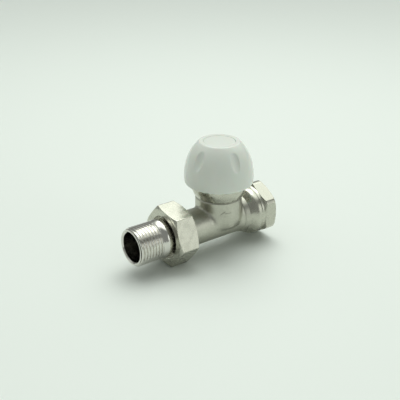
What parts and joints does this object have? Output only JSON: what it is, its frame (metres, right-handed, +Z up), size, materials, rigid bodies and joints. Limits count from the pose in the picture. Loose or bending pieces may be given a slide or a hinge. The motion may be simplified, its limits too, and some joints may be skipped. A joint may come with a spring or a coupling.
{
  "type": "straight radiator valve",
  "caption": "Straight half-inch radiator valve with a domed handwheel, threaded inlet and a union tailpiece.",
  "frame": {"origin": "on the run axis where the inlet's full thread starts, half a millimetre inside its mouth", "axes": "+X leaves the inlet along the run, +Z runs up the stem to the handwheel"},
  "size_m": [0.0893, 0.0382, 0.0626],
  "materials": {
    "nickel_cast": "nickel plated hot-forged brass, satin with a fine cast grain",
    "nickel_turned": "nickel plated turned brass, satin",
    "nickel_bright": "nickel plated turned brass, bright",
    "bare_brass": "turned brass",
    "steel": "stainless steel",
    "rubber": "black EPDM rubber",
    "white_plastic": "glossy white moulded plastic"
  },
  "bodies": {
    "valve": {"valve_body": "nickel_cast", "bonnet": "nickel_turned", "bonnet_seal": "rubber", "gland_nut": "bare_brass", "gland_seal": "rubber", "gland_outer_seal": "rubber", "return_spring": "steel", "head_base": "white_plastic"},
    "lift": {"stem": "steel", "stem_clip": "steel", "spring_plate": "steel", "disc_holder": "bare_brass", "valve_disc": "rubber", "disc_washer": "steel", "disc_nut": "bare_brass"},
    "handwheel": {"drive_screw": "bare_brass", "handwheel_shell": "white_plastic", "screw_washer": "steel", "handwheel_screw": "steel", "handwheel_cap": "white_plastic"},
    "union": {"union_seal": "rubber"},
    "tail": {"tailpiece": "nickel_bright"},
    "nut": {"union_nut": "nickel_turned"}
  },
  "joints": [
    {"name": "stem_lift", "type": "slide", "parent": "valve", "child": "lift", "axis": [0, 0, 1], "range_m": [0, 0.003], "deforming": ["return_spring"]},
    {"name": "handwheel_turn", "type": "hinge", "parent": "lift", "child": "handwheel", "pos_m": [-0.0308, 0, 0.0294], "axis": [0, 0, 1], "range_deg": [0, 720]},
    {"name": "union_release", "type": "slide", "parent": "valve", "child": "union", "axis": [-1, 0, 0], "range_m": [0, 0.00544]},
    {"name": "union_nut_turn", "type": "hinge", "parent": "union", "child": "nut", "pos_m": [-0.0634, 0, 0], "axis": [-1, 0, 0], "range_deg": [0, 1080]},
    {"name": "tail_swivel", "type": "hinge", "parent": "union", "child": "tail", "pos_m": [-0.0634, 0, 0], "axis": [-1, 0, 0], "continuous": true}
  ],
  "couplings": [
    {"joint": "stem_lift", "follows": "handwheel_turn", "m_per_rad": 0.00023873},
    {"joint": "union_release", "follows": "union_nut_turn", "m_per_rad": 0.00028871}
  ]
}
